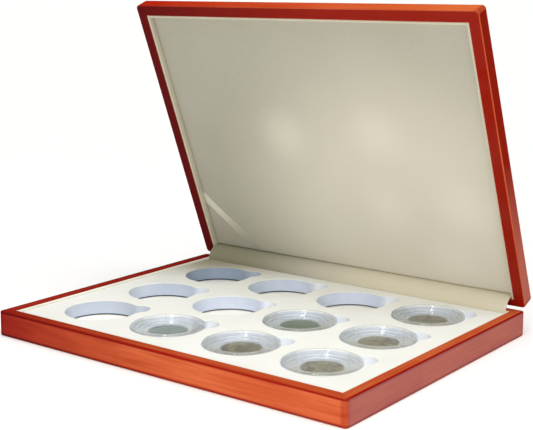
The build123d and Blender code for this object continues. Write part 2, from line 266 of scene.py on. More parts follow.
def case_outline(inset):
    """Points round the case inside its outer face: (x, y, side, whether at a corner)."""
    radius = max(corner_radius - inset, 0)
    past_edge = (inset - lid_edge_radius) / (rail_thickness - board_rebate - lid_edge_radius)
    thinner = (rail_thickness - back_rail_thickness) * min(max(past_edge, 0), 1)
    middle_x = case_width / 2 - inset - radius
    front_y = case_depth / 2 - inset - radius
    places = [(0, -corner_darkness_reach, 0), (0, -flat_start, 1)]
    places += [(step / arc_steps, 0, 1) for step in range(arc_steps + 1)]
    places += [(1, flat_start, 1), (1, corner_darkness_reach, 0)]
    points = []
    for quarter, (sx, sy) in enumerate(((1, 1), (-1, 1), (-1, -1), (1, -1))):
        for turn, along, cornered in places:
            angle = math.pi / 2 * (quarter + turn)
            spoke = Vector((math.cos(angle), math.sin(angle)))
            x, y = (
                Vector((sx * middle_x, front_y + thinner if sy > 0 else -front_y))
                + spoke * radius
                + Vector((-spoke.y, spoke.x)) * along
            )
            points.append((x, y, (quarter + round(turn)) % 4, cornered))
    return points


def as_piece(name, work, place=None):
    """A finished object from a bmesh: merged, facing outwards, smooth but for its creases."""
    bmesh.ops.remove_doubles(work, verts=work.verts[:], dist=0.001 * mm)
    bmesh.ops.recalc_face_normals(work, faces=work.faces[:])
    if place is not None:
        work.transform(place)
    mesh = bpy.data.meshes.new(name)
    work.to_mesh(mesh)
    work.free()
    creased(mesh)
    return placed(name, mesh)


def creased(mesh, sharpest=40):
    """Shade a mesh smooth but for edges that turn by more than so many degrees."""
    mesh.shade_smooth()
    mesh.set_sharp_from_angle(angle=math.radians(sharpest))


def seat(piece, body, material, slot, *nodes):
    """Give a finished piece its material, and set it on its body in place of its CAD nodes."""
    piece.data.materials.clear()
    piece.data.materials.append(material)
    if body:
        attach(piece, body)
    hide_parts(*nodes)


def dress(node, material):
    """Give a CAD node that stays as it is its better material."""
    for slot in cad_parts[node].material_slots:
        slot.material = material


def moulded_frame(name, section, boarded=False, place=None):
    """A section (inset, level, radius, edge shade) run round the case. A boarded frame's section is
    open and a board closes each end. The grain follows each side, and edges carry painted shade."""
    work = bmesh.new()
    edge = work.verts.layers.float.new("edge")
    grain = work.loops.layers.float_vector.new("grain")
    points = softened(section)
    rings = []
    run = 0
    for index, (point, edge_darkness) in enumerate(points):
        if index:
            run += (point - points[index - 1][0]).length
        ring = []
        for x, y, side, cornered in case_outline(point.x):
            vert = work.verts.new((x, y, point.y))
            vert[edge] = max(edge_darkness, corner_darkness * cornered if point.x < rim_outer_radius else 0)
            ring.append((vert, side))
        rings.append((ring, run))
    for index in range(len(rings) - 1 if boarded else len(rings)):
        (lower, lower_run), (upper, upper_run) = rings[index], rings[(index + 1) % len(rings)]
        for here in range(len(lower)):
            after = (here + 1) % len(lower)
            corners = (lower[here], lower[after], upper[after], upper[here])
            face = work.faces.new([vert for vert, side in corners])
            side = lower[after][1]
            for loop, across in zip(face.loops, (lower_run, lower_run, upper_run, upper_run)):
                loop[grain] = (loop.vert.co.x if side % 2 else loop.vert.co.y, across, side)
    for ring, run in (rings[0], rings[-1]) if boarded else ():
        face = work.faces.new([vert for vert, side in ring])
        for loop in face.loops:
            loop[grain] = (loop.vert.co.x, loop.vert.co.y, 5)
    return as_piece(name, work, place)


def as_mesh(thing):
    """The plain mesh that an object with its modifiers comes to."""
    return bpy.data.meshes.new_from_object(
        thing.evaluated_get(bpy.context.evaluated_depsgraph_get())
    )


def plain(piece):
    """Turn a piece with its modifiers into a plain mesh."""
    ready = as_mesh(piece)
    piece.modifiers.clear()
    ready.name = piece.name
    piece.data = ready


def cut_mortises(rails, low, high, place=None):
    """Sink the two hinge leaves' beds into the back rail's rim, between two levels."""
    for centre in hinge_places:
        work = bmesh.new()
        bmesh.ops.create_cube(work, size=1)
        for vert in work.verts:
            vert.co.x = centre + vert.co.x * mortise_length
            vert.co.y = mortise_front + (vert.co.y + 0.5) * 2 * (case_depth / 2 - mortise_front)
            vert.co.z = low + (vert.co.z + 0.5) * (high - low)
        bed = as_piece("mortise", work, place)
        cut = rails.modifiers.new("mortise", "BOOLEAN")
        cut.object = bed
        cut.solver = "EXACT"
        plain(rails)
        bpy.data.objects.remove(bed)


# Stained hardwood under a thin clear coat: staves of slightly different tone
# are jointed end to end and fine streaks follow the grain. Painted shade darkens
# the red to the left, along the edges, on the rims and at the top of the open
# lid's right-hand end. Painted light brightens the lid's front towards the right,
# and a painted reflection of the pale table makes the foot of the right-hand
# ends milky.
lacquered_hardwood, tree = finish_called("lacquered_hardwood")
grain = add(tree, "ShaderNodeAttribute", attribute_name="grain").outputs["Vector"]
edge = add(tree, "ShaderNodeAttribute", attribute_name="edge").outputs["Fac"]
spot = add(tree, "ShaderNodeTexCoord").outputs
place = add(tree, "ShaderNodeSeparateXYZ", [spot["Object"]]).outputs
along = add(tree, "ShaderNodeSeparateXYZ", [grain]).outputs


def wood_pattern(size, detail):
    """Noise drawn out along the grain, of that length and width."""
    scale = (1 / size[0], 1 / size[1], side_shift)
    drawn = add(tree, "ShaderNodeVectorMath", [grain, scale], operation="MULTIPLY")
    return add(tree, "ShaderNodeTexNoise", {"Vector": drawn, "Scale": 1, "Detail": detail})


def turned_to(direction, depth):
    """A depth on the faces that look along a direction, and none on the others."""
    likeness = add(
        tree, "ShaderNodeVectorMath", [spot["Normal"], direction], operation="DOT_PRODUCT"
    )
    return add(tree, "ShaderNodeMapRange", [likeness, *facing_span, 0, depth])


stave = add(
    tree, "ShaderNodeMath", [along["X"], 1 / stave_length, stave_start / stave_length],
    operation="MULTIPLY_ADD",
)
stave_tone = add(tree, "ShaderNodeTexWhiteNoise", {
    "Vector": add(tree, "ShaderNodeCombineXYZ", {
        "X": add(tree, "ShaderNodeMath", [stave], operation="FLOOR"),
        "Y": along["Z"],
    }),
})
mottle = add(tree, "ShaderNodeMix", {0: stave_share, 2: wood_pattern(cloud_size, 3), 3: stave_tone})
clouds = add(tree, "ShaderNodeMapRange", [mottle, *cloud_span])
streaks = wood_pattern(streak_size, 4)
streaks = add(tree, "ShaderNodeMapRange", [streaks, *streak_span, 0, streak_depth])
right_end = (1, 0, 0)
lid_turn = lid_place.to_3x3()
# Painted shade: darker along the edges, on the rims and at the top of the open lid's end.
painted_shade = edge
for direction, depth in (
    (right_end, add(tree, "ShaderNodeMapRange", [place["Z"], *end_height, 0, end_shade])),
    (lid_turn @ Vector((0, 0, -1)), lid_rim_shade),
    ((0, 0, 1), base_rim_shade),
):
    painted_shade = add(tree, "ShaderNodeMath", [painted_shade, turned_to(direction, depth)], operation="MAXIMUM")

# Each coat has its share, its tone on the right and its darker tone on the left, which is painted
# shade.
shaded_left = add(tree, "ShaderNodeMapRange", [place["X"], *shaded_left_span, 1, 0])
coats = []
for share, right, left in (
    (None, "#C2542C", "#941A12"),
    (clouds, "#DE7848", "#B62E1C"),
    (streaks, "#A8300E", "#74160F"),
    (painted_shade, "#8E0E02", "#5C0404"),
):
    tone = add(tree, "ShaderNodeMix", {0: shaded_left, 6: right, 7: left}, data_type="RGBA")
    coats.append((share, tone))
# Painted light: the open lid's front, which faces up, a brighter red towards the right.
to_right = add(tree, "ShaderNodeMapRange", [place["X"], 0, case_width / 2])
lit_front = add(tree, "ShaderNodeMix", {0: to_right, 6: "#D42A04", 7: "#F88440"}, data_type="RGBA")
coats.append((turned_to(lid_turn @ Vector((0, -1, 0)), lid_front_light), lit_front))
# Painted reflection of the pale table: the right-hand ends milkier towards their foot.
table_reflection = add(tree, "ShaderNodeMapRange", [place["Z"], *end_height, end_table_reflection, 0])
coats.append((turned_to(right_end, table_reflection), "#9C6E76"))
colour = coats[0][1]
for share, coat in coats[1:]:
    colour = add(tree, "ShaderNodeMix", {0: share, 6: colour, 7: coat}, data_type="RGBA")
ripples = add(tree, "ShaderNodeBump", {
    "Strength": 0.3,
    "Distance": 0.05 * mm,
    "Height": add(tree, "ShaderNodeTexNoise", {
        "Vector": spot["Object"],
        "Scale": 1 / ripple_size,
        "Detail": 1,
    }),
})
tilt = add(tree, "ShaderNodeLayerWeight", {"Blend": 0.5}).outputs["Facing"]
add(tree, "ShaderNodeOutputMaterial", {"Surface": add(tree, "ShaderNodeBsdfPrincipled", {
    "Base Color": colour,
    "Roughness": 0.5,
    "Specular IOR Level": 0,
    "Coat Weight": add(tree, "ShaderNodeMapRange", [tilt, *coat_span, *coat_weight]),
    "Coat Roughness": 0.08,
    "Coat IOR": 1.5,
    "Normal": ripples,
    "Coat Normal": ripples,
})})

base_frame = moulded_frame("base_frame", [
    (rail_thickness, board_thickness, 0, 0),
    (rail_thickness - board_rebate, board_thickness, 0, 0),
    (rail_thickness - board_rebate, 0, 0, 0),
    (0, 0, base_edge_radius, 0.7),
    (0, base_height, rim_outer_radius, 1),
    (rail_thickness, base_height, rim_inner_radius, 0.6),
])
cut_mortises(base_frame, base_height - mortise_depth, base_height + mm)
seat(
    base_frame, "case", lacquered_hardwood, "lacquered_wood",
    "base_front_rail", "base_back_rail", "base_left_rail", "base_right_rail",
)

lid_frame = moulded_frame("lid_frame", [
    (rail_thickness, lid_inside, 0, 0),
    (rail_thickness, lid_rim, rim_inner_radius, 0.6),
    (0, lid_rim, rim_outer_radius, 0.15),
    (0, lid_top, lid_edge_radius, 0.1),
    (2 * rail_thickness, lid_top, 0, 0),
], True, lid_place)
cut_mortises(lid_frame, lid_rim - mm, lid_rim + mortise_depth, lid_place)
seat(
    lid_frame, "lid", lacquered_hardwood, "lacquered_wood",
    "lid_front_rail", "lid_back_rail", "lid_left_rail", "lid_right_rail", "lid_top_board",
)

# Stained plywood underneath: the same red, dull, with the grain along the case.
stained_plywood, tree = finish_called("stained_plywood")
streaks = add(tree, "ShaderNodeTexNoise", {
    "Vector": add(tree, "ShaderNodeMapping", {
        "Vector": add(tree, "ShaderNodeTexCoord").outputs["Object"],
        "Scale": (1 / (40 * mm), 1 / (1.5 * mm), 1),
    }),
    "Scale": 1,
    "Detail": 4,
})
add(tree, "ShaderNodeOutputMaterial", {"Surface": add(tree, "ShaderNodeBsdfPrincipled", {
    "Base Color": add(tree, "ShaderNodeMix", {
        0: streaks,
        6: "#7A2214",
        7: "#B04626",
    }, data_type="RGBA"),
    "Roughness": 0.55,
    "Normal": add(tree, "ShaderNodeBump", {
        "Strength": 0.4,
        "Distance": 0.1 * mm,
        "Height": streaks,
    }),
})})
dress("base_bottom_board", stained_plywood)

# ---- floor and liners of the base --------------------------------------------
# A covered card lies on the bottom board. Thin card strips wrapped in cream
# cloth are glued along the inner walls and end just under the rim.
liner_thickness = 2.0 * mm
liner_top = 17.7 * mm
well_floor = 5.0 * mm
liner_edge_radius = 0.7 * mm
wall_x = case_width / 2 - rail_thickness
wall_front = rail_thickness - case_depth / 2
wall_back = case_depth / 2 - back_rail_thickness
side_x = wall_x - liner_thickness
side_front = wall_front + liner_thickness
side_back = wall_back - liner_thickness


def napped_cloth(name, shade, light, nap, patch, depth, sheen, patchiness=0.5):
    """Cloth with a short nap, brushed lighter and darker in patches. Its fibres are drawn coarser
    than they are, so that they show."""
    material, tree = finish_called(name)
    spot = add(tree, "ShaderNodeTexCoord").outputs["Object"]
    fibres = add(tree, "ShaderNodeTexNoise", {
        "Vector": spot,
        "Scale": 1 / nap,
        "Detail": 3,
        "Roughness": 0.7,
    })
    brushed = add(tree, "ShaderNodeTexNoise", {"Vector": spot, "Scale": 1 / patch, "Detail": 1})
    tone = add(tree, "ShaderNodeMix", {0: patchiness, 2: fibres, 3: brushed})
    share = add(tree, "ShaderNodeMapRange", [tone, 0.35, 0.65])
    add(tree, "ShaderNodeOutputMaterial", {"Surface": add(tree, "ShaderNodeBsdfPrincipled", {
        "Base Color": add(tree, "ShaderNodeMix", {0: share, 6: shade, 7: light}, data_type="RGBA"),
        "Roughness": 0.9,
        "Specular IOR Level": 0.2,
        "Sheen Weight": sheen,
        "Sheen Roughness": 0.4,
        "Normal": add(tree, "ShaderNodeBump", {
            "Strength": 0.6,
            "Distance": depth,
            "Height": fibres,
        }),
    })})
    return material


def tinted(material, share, colour):
    """Blend a colour over a material's own, by a share worked out in its tree."""
    tree = material.node_tree
    own = tree.nodes["Principled BSDF"].inputs["Base Color"]
    over = add(tree, "ShaderNodeMix", {
        0: share,
        6: own.links[0].from_socket,
        7: colour,
    }, data_type="RGBA")
    tree.links.new(over.outputs[2], own)


def tinted_round(material, centre, reach, strength, colour, squeeze=(1, 1, 1)):
    """Tint a cloth round a point, fading between an inner and an outer radius."""
    tree = material.node_tree
    spot = add(tree, "ShaderNodeTexCoord").outputs["Object"]
    away = add(tree, "ShaderNodeVectorMath", [
        add(tree, "ShaderNodeVectorMath", [spot, squeeze], operation="MULTIPLY"),
        Vector(centre) * Vector(squeeze),
    ], operation="DISTANCE")
    share = add(tree, "ShaderNodeMapRange", [
        away, *reach, strength, 0,
    ], interpolation_type="SMOOTHSTEP")
    tinted(material, share, colour)


def band(work, lower, upper):
    """A closed ring of faces between two rings of vertices."""
    for here in range(len(lower)):
        after = (here + 1) % len(lower)
        work.faces.new((lower[here], lower[after], upper[after], upper[here]))


def lined(part, body, levels, material, strips, place=None):
    """Wrapped strips along the walls, between two levels, their inner top edges rounded.
    Each strip is (side, whether it runs along X, inner face, outer face, start, end)."""
    foot, top = levels
    for side, along_x, inner, outer, start, end in strips:
        section = softened([
            (outer, foot, 0, 0),
            (inner, foot, 0, 0),
            (inner, top, liner_edge_radius, 0),
            (outer, top, liner_edge_radius, 0),
        ])
        work = bmesh.new()
        ends = [
            [
                work.verts.new((reach, point.x, point.y) if along_x else (point.x, reach, point.y))
                for point, edge_darkness in section
            ]
            for reach in (start, end)
        ]
        band(work, *ends)
        for rim in ends:
            work.faces.new(rim)
        edging = as_piece(f"{part}_edging_{side}", work, place)
        seat(edging, body, material, "cream_lining", f"{part}_liner_{side}")


# Cream cotton with a short nap, stretched over card: matt and even.
cream_cotton = napped_cloth(
    "cream_cotton", "#E4DFD0", "#F4F0E4", 0.9 * mm, 30 * mm, 0.15 * mm, 0.2, 0.3
)
lined("base", "case", (well_floor, liner_top), cream_cotton, (
    ("front", True, side_front, wall_front, -wall_x, wall_x),
    ("back", True, side_back, wall_back, -wall_x, wall_x),
    ("left", False, -side_x, -wall_x, side_front, side_back),
    ("right", False, side_x, wall_x, side_front, side_back),
))

# White-cream paper on the floor card, which shows at the bottom of each well.
dress("well_floor_card", napped_cloth(
    "cream_paper", "#F4F1E8", "#FDFBF4", 1.5 * mm, 20 * mm, 0.05 * mm, 0, 0.5
))

# ---- the die-cut insert ------------------------------------------------------
# A sheet of pale closed-cell foam on a dark spacer card, die-cut with a grid of
# wells, each with a finger notch, and faced with cream velvet glued on top.
insert_right = 139.3 * mm
insert_front = -104.3 * mm
insert_back = 105.7 * mm
insert_corner = 0.6 * mm
columns = 4
rows = 3
spacing_x = 65.0 * mm
spacing_y = 66.0 * mm
rows_centre = 2.0 * mm
well_radius = 26.5 * mm
notch_radius = 9.5 * mm
notch_offset = 26.0 * mm
notch_angle = math.radians(45)
notch_blend = 4.5 * mm
well_steps = 72
notch_steps = 20
blend_steps = 9
roll_steps = 4
spacer_top = 6.2 * mm
foam_top = 15.6 * mm
insert_top = 16.2 * mm
velvet_edge_radius = 0.35 * mm


def well_outline(widening):
    """Points round a well that stands back by a widening: circle, blend, finger notch, blend."""
    far, near = well_radius + notch_blend, notch_radius + notch_blend
    meet_x = (far ** 2 - near ** 2 + notch_offset ** 2) / (2 * notch_offset)
    meet_y = math.sqrt(far ** 2 - meet_x ** 2)
    well_turn = math.atan2(meet_y, meet_x)
    notch_turn = math.atan2(meet_y, meet_x - notch_offset)
    half = math.pi
    arcs = (
        (0, 0, well_radius + widening, well_turn, 2 * half - well_turn, well_steps),
        (meet_x, -meet_y, notch_blend - widening, half - well_turn, half - notch_turn, blend_steps),
        (notch_offset, 0, notch_radius + widening, -notch_turn, notch_turn, notch_steps),
        (meet_x, meet_y, notch_blend - widening, half + notch_turn, half + well_turn, blend_steps),
    )
    points = []
    for x, y, radius, start, end, steps in arcs:
        for step in range(steps):
            angle = start + (end - start) * step / steps
            points.append(Vector((x + radius * math.cos(angle), y + radius * math.sin(angle))))
    aimed = Matrix.Rotation(notch_angle, 2)
    return [aimed @ point for point in points]


def sheet_outline(inset):
    """Points round the insert, with small rounded corners."""
    radius = insert_corner - inset
    points = []
    for quarter, (x, y) in enumerate((
        (insert_right, insert_back), (-insert_right, insert_back),
        (-insert_right, insert_front), (insert_right, insert_front),
    )):
        corner = Vector((x - math.copysign(insert_corner, x), y - math.copysign(insert_corner, y)))
        for step in range(arc_steps + 1):
            angle = math.pi / 2 * (quarter + step / arc_steps)
            points.append(corner + Vector((math.cos(angle), math.sin(angle))) * radius)
    return points


def grower(name, inputs, output):
    """A new geometry tree with named inputs, listed by kind, and one output; and its inputs."""
    tree = bpy.data.node_groups.new(name, "GeometryNodeTree")
    for kind, labels in inputs.items():
        for label in labels:
            tree.interface.new_socket(label, in_out="INPUT", socket_type=f"NodeSocket{kind}")
    tree.interface.new_socket(output, in_out="OUTPUT", socket_type="NodeSocketGeometry")
    return tree, add(tree, "NodeGroupInput").outputs


def given_out(tree, geometry, material):
    """End a geometry tree: its instances made real, in their material."""
    made = add(tree, "GeometryNodeRealizeInstances", {"Geometry": geometry})
    covered = add(tree, "GeometryNodeSetMaterial", {"Geometry": made, "Material": material})
    add(tree, "NodeGroupOutput", {0: covered})


# The die: one well's wall, or the sheet's rim, is swept through its levels. The
# tree sets a wall at every place of the grid and fills the sheet between them.
die, given = grower("die_cut_sheet", {
    "Geometry": ["Walls"],
    "Int": ["Columns", "Rows"],
    "Float": ["Spacing X", "Spacing Y", "Bottom", "Top"],
    "Vector": ["Centre"],
    "Material": ["Material"],
}, "Sheet")
part, level = [
    add(die, "GeometryNodeInputNamedAttribute", {"Name": name}, data_type="FLOAT")
    for name in ("repeated", "fill")
]
parted = add(die, "GeometryNodeSeparateGeometry", {
    "Geometry": given["Walls"],
    "Selection": part,
}, domain="POINT").outputs
width, depth = [
    add(die, "ShaderNodeMath", [
        given[spacing],
        add(die, "ShaderNodeMath", [given[count], 1.0], operation="SUBTRACT"),
    ], operation="MULTIPLY")
    for spacing, count in (("Spacing X", "Columns"), ("Spacing Y", "Rows"))
]
places = add(die, "GeometryNodeMeshGrid", {
    "Size X": width,
    "Size Y": depth,
    "Vertices X": given["Columns"],
    "Vertices Y": given["Rows"],
})
copies = add(die, "GeometryNodeInstanceOnPoints", {
    "Points": add(die, "GeometryNodeTransform", {
        "Geometry": places,
        "Translation": given["Centre"],
    }),
    "Instance": parted["Selection"],
})
walls = add(die, "GeometryNodeRealizeInstances", {
    "Geometry": add(die, "GeometryNodeJoinGeometry", {"Geometry": [parted["Inverted"], copies]}),
})
sheet = [walls]
for sign, height in ((1, "Top"), (-1, "Bottom")):
    chosen = add(die, "FunctionNodeCompare", {
        0: level,
        1: float(sign),
        "Epsilon": 0.1,
    }, data_type="FLOAT", operation="EQUAL")
    lines = add(die, "GeometryNodeMeshToCurve", {"Mesh": walls, "Selection": chosen})
    face = add(die, "GeometryNodeTransform", {
        "Geometry": add(die, "GeometryNodeFillCurve", {"Curve": lines}, mode="TRIANGLES"),
        "Translation": add(die, "ShaderNodeCombineXYZ", {"Z": given[height]}),
    })
    sheet.append(face if sign > 0 else add(die, "GeometryNodeFlipFaces", {"Mesh": face}))
given_out(die, add(die, "GeometryNodeMergeByDistance", {
    "Geometry": add(die, "GeometryNodeJoinGeometry", {"Geometry": sheet}),
    "Distance": 0.02 * mm,
}), given["Material"])


def grown(piece, tree, **values):
    """Run a geometry tree with these inputs on a piece and keep the result as its plain mesh."""
    growth = piece.modifiers.new(tree.name, "NODES")
    growth.node_group = tree
    for socket in tree.interface.items_tree:
        name = socket.name.lower().replace(" ", "_")
        if socket.in_out == "INPUT" and name in values:
            growth[socket.identifier] = values[name]
    plain(piece)


def die_cut(name, levels, material):
    """A sheet with the grid of wells. Its levels are (widening, height), from the bottom up."""
    work = bmesh.new()
    repeated = work.verts.layers.float.new("repeated")
    fill = work.verts.layers.float.new("fill")
    for outline, in_grid in ((well_outline, 1), (sheet_outline, 0)):
        rings = []
        for index, (widening, height) in enumerate(levels):
            ring = [work.verts.new((*point, height)) for point in outline(widening)]
            for vert in ring:
                vert[repeated] = in_grid
                vert[fill] = {0: -1, len(levels) - 1: 1}.get(index, 0)
            rings.append(ring)
        for lower, upper in zip(rings, rings[1:]):
            band(work, *((upper, lower) if in_grid else (lower, upper)))
    mesh = bpy.data.meshes.new(name)
    work.to_mesh(mesh)
    work.free()
    piece = placed(name, mesh)
    grown(
        piece, die, columns=columns, rows=rows, spacing_x=spacing_x, spacing_y=spacing_y,
        centre=(0, rows_centre, 0), bottom=levels[0][1], top=levels[-1][1], material=material,
    )
    creased(piece.data)
    return piece


# Closed-cell foam, cut by a steel rule: a cool off-white, matt, with fine cells.
# Painted light makes it paler where the finger notches are cut, and painted
# shade greys it towards the left, most at the back under the open lid.
notch_painted_light = 0.9
notch_light_span = (1 * mm, 4 * mm)   # how far past the well's circle it sets in
closed_cell_foam = napped_cloth(
    "closed_cell_foam", "#CCD7EA", "#DCE4F4", 0.8 * mm, 12 * mm, 0.12 * mm, 0, 0.3
)
tree = closed_cell_foam.node_tree
from_axis = add(tree, "ShaderNodeVectorMath", [
    add(tree, "ShaderNodeTexCoord").outputs["Object"],
    (1, 1, 0),
    (-spacing_x / 2, -rows_centre, 0),
], operation="MULTIPLY_ADD")
from_axis = add(tree, "ShaderNodeVectorMath", [
    from_axis,
    (spacing_x / 2, spacing_y / 2, 1),
    (-spacing_x / 2, -spacing_y / 2, -1),
], operation="WRAP")
from_axis = add(tree, "ShaderNodeVectorMath", [from_axis], operation="LENGTH")
span = [well_radius + past for past in notch_light_span]
# Painted light: paler in the finger notches.
notch_light = add(tree, "ShaderNodeMapRange", [from_axis, *span, 0, notch_painted_light])
tinted(closed_cell_foam, notch_light, "#F3F8FF")
# Painted shade: greyer towards the back left, under the open lid, and towards the left at the
# front.
tinted_round(closed_cell_foam, Vector((-150, 110, 10)) * mm, (50 * mm, 122 * mm), 0.8, "#8698AE")
tinted_round(closed_cell_foam, Vector((-98, -40, 10)) * mm, (20 * mm, 60 * mm), 0.6, "#B7C0CE")
foam = die_cut("foam_insert", [(0, spacer_top), (0, foam_top)], closed_cell_foam)
seat(foam, "case", closed_cell_foam, "pale_foam", "insert_foam")

# Grey-black card, a painted shadow line at the foot of each well, where its wider holes show.
dress("insert_spacer_card", napped_cloth(
    "dark_card", "#1E1C1B", "#2C2927", 1.2 * mm, 10 * mm, 0.05 * mm, 0, 0.4
))

# Cotton velvet with its edges pressed over by the cut: cream, matt, with a short
# pile that brightens where it is seen at a low angle. Painted shade browns it
# at the back left, under the open lid.
cream_velvet = napped_cloth(
    "cream_velvet", "#EAEBE3", "#F3F5F0", 0.8 * mm, 35 * mm, 0.2 * mm, 0.35, 0.45
)
# Painted shade: browner towards the back left, under the open lid.
tinted_round(
    cream_velvet, Vector((-150, 112, 27)) * mm, (6 * mm, 58 * mm), 0.8, "#AEA27A", (0.4, 1, 1)
)
tinted_round(cream_velvet, Vector((-150, 110, 27)) * mm, (10 * mm, 90 * mm), 0.7, "#8C8662")
roll = [math.pi / 2 * step / roll_steps for step in range(roll_steps + 1)]
rolled = [
    (velvet_edge_radius * (1 - math.cos(turn)),
     insert_top - velvet_edge_radius * (1 - math.sin(turn)))
    for turn in roll
]
velvet = die_cut(
    "velvet_cover",
    [(0, foam_top), *rolled, (velvet_edge_radius + flat_start / 2, insert_top)],
    cream_velvet,
)
seat(velvet, "case", cream_velvet, "cream_velvet", "insert_velvet_cover")

# ---- linings of the lid ------------------------------------------------------
# Wrapped card strips line three sides of the lid. Against its top board lies a
# card panel, padded with thin foam and covered in cream cloth that is drawn
# over its edges, and a satin ribbon for a certificate crosses one corner.
lid_liner_face = 18.5 * mm
panel_right = 139.3 * mm
panel_front = -104.3 * mm
panel_back = 107.7 * mm
panel_face = 22.2 * mm
padding_back = 25.0 * mm
pad_edge_radius = 1.2 * mm
pad_crown = 0.35 * mm         # how far the face falls off towards its edges
pad_crown_reach = 14 * mm
pad_hollow = 0.12 * mm        # how uneven the thin foam is
pad_hollow_size = 55 * mm
pad_edge_steps = [0, 0.06, 0.25, 0.55, 0.9, 1.2, 1.7, 3, 5, 8, 12]   # in mm from an edge
pad_cell = 6 * mm

# The same cotton as on the base's strips, drawn greyer as painted shade inside the open lid.
aged_cotton = napped_cloth(
    "aged_cotton", "#C6BFA9", "#D6D0BC", 0.9 * mm, 30 * mm, 0.15 * mm, 0.2, 0.3
)
lined("lid", "lid", (lid_inside, lid_liner_face), aged_cotton, (
    ("front", True, side_front, wall_front, -side_x, side_x),
    ("left", False, -side_x, -wall_x, wall_front, wall_back),
    ("right", False, side_x, wall_x, wall_front, wall_back),
), lid_place)

# Grey board behind the padding: dull and slightly mottled.
dress("lid_panel_board", napped_cloth(
    "grey_board", "#8E8A82", "#A19D94", 2 * mm, 15 * mm, 0.05 * mm, 0, 0.5
))


def pad_level(x, y):
    """The lid's level at which the pad's cloth lies."""
    edges = (panel_right - abs(x), min(y - panel_front, panel_back - y))
    rolled = math.hypot(*[
        pad_edge_radius - math.sqrt(pad_edge_radius ** 2 - (pad_edge_radius - edge) ** 2)
        if edge < pad_edge_radius else 0
        for edge in (max(edge, 0) for edge in edges)
    ])
    inside = min(min(edges) / pad_crown_reach, 1)
    fall = pad_crown * (1 - inside) ** 2
    hollow = noise.noise(Vector((x, y, 0)) / pad_hollow_size) + 1
    return panel_face + min(rolled, pad_edge_radius) + fall + pad_hollow * inside * hollow / 2


def pad_lines(low, high):
    """Places of the pad's grid lines, closer near its edges."""
    near = [low + step * mm for step in pad_edge_steps]
    far = [high - step * mm for step in reversed(pad_edge_steps)]
    cells = round((far[0] - near[-1]) / pad_cell)
    middle = [near[-1] + (far[0] - near[-1]) * cell / cells for cell in range(1, cells)]
    return near + middle + far


def woven(work, net):
    """The faces between a net's points. Returns the ring of points round its rim."""
    for lower, upper in zip(net, net[1:]):
        for here in range(len(lower) - 1):
            work.faces.new((lower[here], lower[here + 1], upper[here + 1], upper[here]))
    sides = [row[-1] for row in net[1:]], [row[0] for row in net[-2:0:-1]]
    return net[0] + sides[0] + net[-1][-2::-1] + sides[1]


def on_panel(x, y):
    """A place on the padded panel, from its x and y in the shut lid in mm."""
    return lid_place @ Vector((x * mm, y * mm, panel_face))


work = bmesh.new()
lines_x, lines_y = pad_lines(-panel_right, panel_right), pad_lines(panel_front, panel_back)
rim = woven(work, [[work.verts.new((x, y, pad_level(x, y))) for x in lines_x] for y in lines_y])
back = [work.verts.new((vert.co.x, vert.co.y, padding_back)) for vert in rim]
band(work, rim, back)
work.faces.new(back)
pad = as_piece("padded_panel", work, lid_place)

# Brushed cotton over thin foam: a grey cream with a fine tooth. A painted pool of
# light pales it towards the lower right, and soft painted spots stand for light
# thrown up from the capsules.
capsule_light_spots = ((-35, -7), (49, -14), (45, 45), (108, 41), (96, 87))   # as on_panel takes them
capsule_light_radius = 33 * mm
lit_pool_place = (55, 65)
lit_pool_reach = (55 * mm, 180 * mm)
brushed_cotton = napped_cloth(
    "brushed_cotton", "#AEAB9B", "#BBB9AB", 0.9 * mm, 60 * mm, 0.25 * mm, 0.1, 0.2
)
# A painted pool of light towards the lower right, and painted spots of light thrown up from the
# capsules.
tinted_round(brushed_cotton, on_panel(*lit_pool_place), lit_pool_reach, 0.9, "#DFDBCA")
for spot in capsule_light_spots:
    tinted_round(brushed_cotton, on_panel(*spot), (0, capsule_light_radius), 0.45, "#EAE6D6")
seat(pad, "lid", brushed_cotton, "cream_lining", "lid_panel_padding")

ribbon_width = 7.0 * mm
ribbon_thickness = 0.35 * mm
ribbon_gap = 0.03 * mm        # between its underside and the cloth
ribbon_setback = 33.7 * mm
ribbon_selvedge = 0.5 * mm
selvedge_thinning = 0.12 * mm
ribbon_end_gap = 0.02 * mm    # between its ends and the panel's edges
ribbon_steps = 40
ribbon_low_end = (-92, 106)   # in the shut lid, in mm, as on_panel takes it

work = bmesh.new()
inward = Vector((1, -1)).normalized()
lengthwise = Vector((1, 1)).normalized()
panel_corner = Vector((-panel_right, panel_back))
half = ribbon_width / 2
across = [-half, -half + 0.3 * ribbon_selvedge, -half + ribbon_selvedge, -half / 2, 0]
across += [-place for place in reversed(across[:-1])]
rims = []
for lift in (ribbon_gap, ribbon_thickness):
    net = []
    for offset in across:
        setback = ribbon_setback + offset
        thinned = lift == ribbon_thickness and abs(offset) > half - 0.4 * ribbon_selvedge
        raised = lift - selvedge_thinning if thinned else lift
        row = []
        for step in range(ribbon_steps + 1):
            along = setback * math.sin((step / ribbon_steps - 0.5) * math.pi)
            x, y = panel_corner + inward * setback + lengthwise * along
            x = max(x, -panel_right + ribbon_end_gap)
            y = min(y, panel_back - ribbon_end_gap)
            row.append(work.verts.new((x, y, pad_level(x, y) - raised)))
        net.append(row)
    rims.append(woven(work, net))
band(work, *rims)
ribbon = as_piece("certificate_ribbon", work, lid_place)

